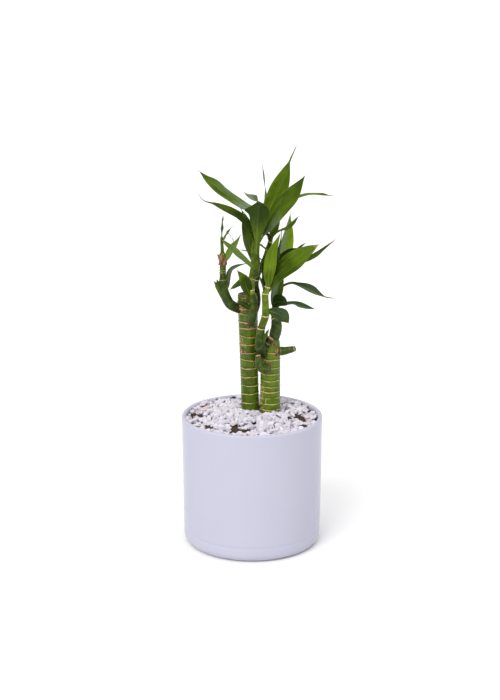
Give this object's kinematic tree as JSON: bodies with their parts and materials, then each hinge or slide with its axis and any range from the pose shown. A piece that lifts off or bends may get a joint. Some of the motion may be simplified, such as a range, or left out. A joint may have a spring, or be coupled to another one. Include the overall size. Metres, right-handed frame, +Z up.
{
  "type": "lucky bamboo",
  "caption": "Potted lucky bamboo: cut ringed canes with leafy shoots, standing in white gravel in a plain glazed cylindrical pot.",
  "frame": {"origin": "centre of the pot's flat underside", "axes": "+Z up along the pot's axis and the canes, -Y towards the front of the plant, +X to its right"},
  "size_m": [0.1518, 0.14, 0.3967],
  "materials": {
    "glaze": "glossy white glaze with a faint lavender cast",
    "soil": "dark crumbly potting soil",
    "gravel": "matt white stone chips",
    "cane": "waxy green bark with tan scar rings",
    "shoot": "smooth green stem with leaf scars",
    "leaf": "waxy green leaf with parallel veins"
  },
  "bodies": {
    "root": {"pot": "glaze", "soil": "soil", "gravel": "gravel", "cane_tall": "cane", "cane_short": "cane", "shoot_left": "shoot", "shoot_main": "shoot", "shoot_middle": "shoot", "shoot_front": "shoot", "shoot_rear": "shoot", "leaf_main_high_left": "leaf", "leaf_main_low_left": "leaf", "leaf_main_front": "leaf", "leaf_main_tallest": "leaf", "leaf_main_right": "leaf", "leaf_main_back": "leaf", "leaf_main_far_right": "leaf", "leaf_main_dark_left": "leaf", "leaf_main_thin_left": "leaf", "leaf_main_old": "leaf", "leaf_main_small_left": "leaf", "leaf_main_small_back": "leaf", "bract_main": "leaf", "leaf_left_top": "leaf", "leaf_left_side": "leaf", "leaf_left_pale": "leaf", "leaf_left_arch": "leaf", "leaf_middle_left": "leaf", "leaf_middle_upright": "leaf", "leaf_middle_short": "leaf", "leaf_middle_right": "leaf", "leaf_front_upright": "leaf", "leaf_front_slim": "leaf", "leaf_front_crossing": "leaf", "leaf_front_inner": "leaf", "leaf_front_broad": "leaf", "leaf_front_low": "leaf", "leaf_rear_dry": "leaf", "leaf_rear_dark": "leaf", "leaf_rear_narrow": "leaf", "leaf_rear_pale": "leaf", "leaf_rear_arch": "leaf", "leaf_rear_low": "leaf", "leaf_rear_curl": "leaf"}
  },
  "joints": []
}
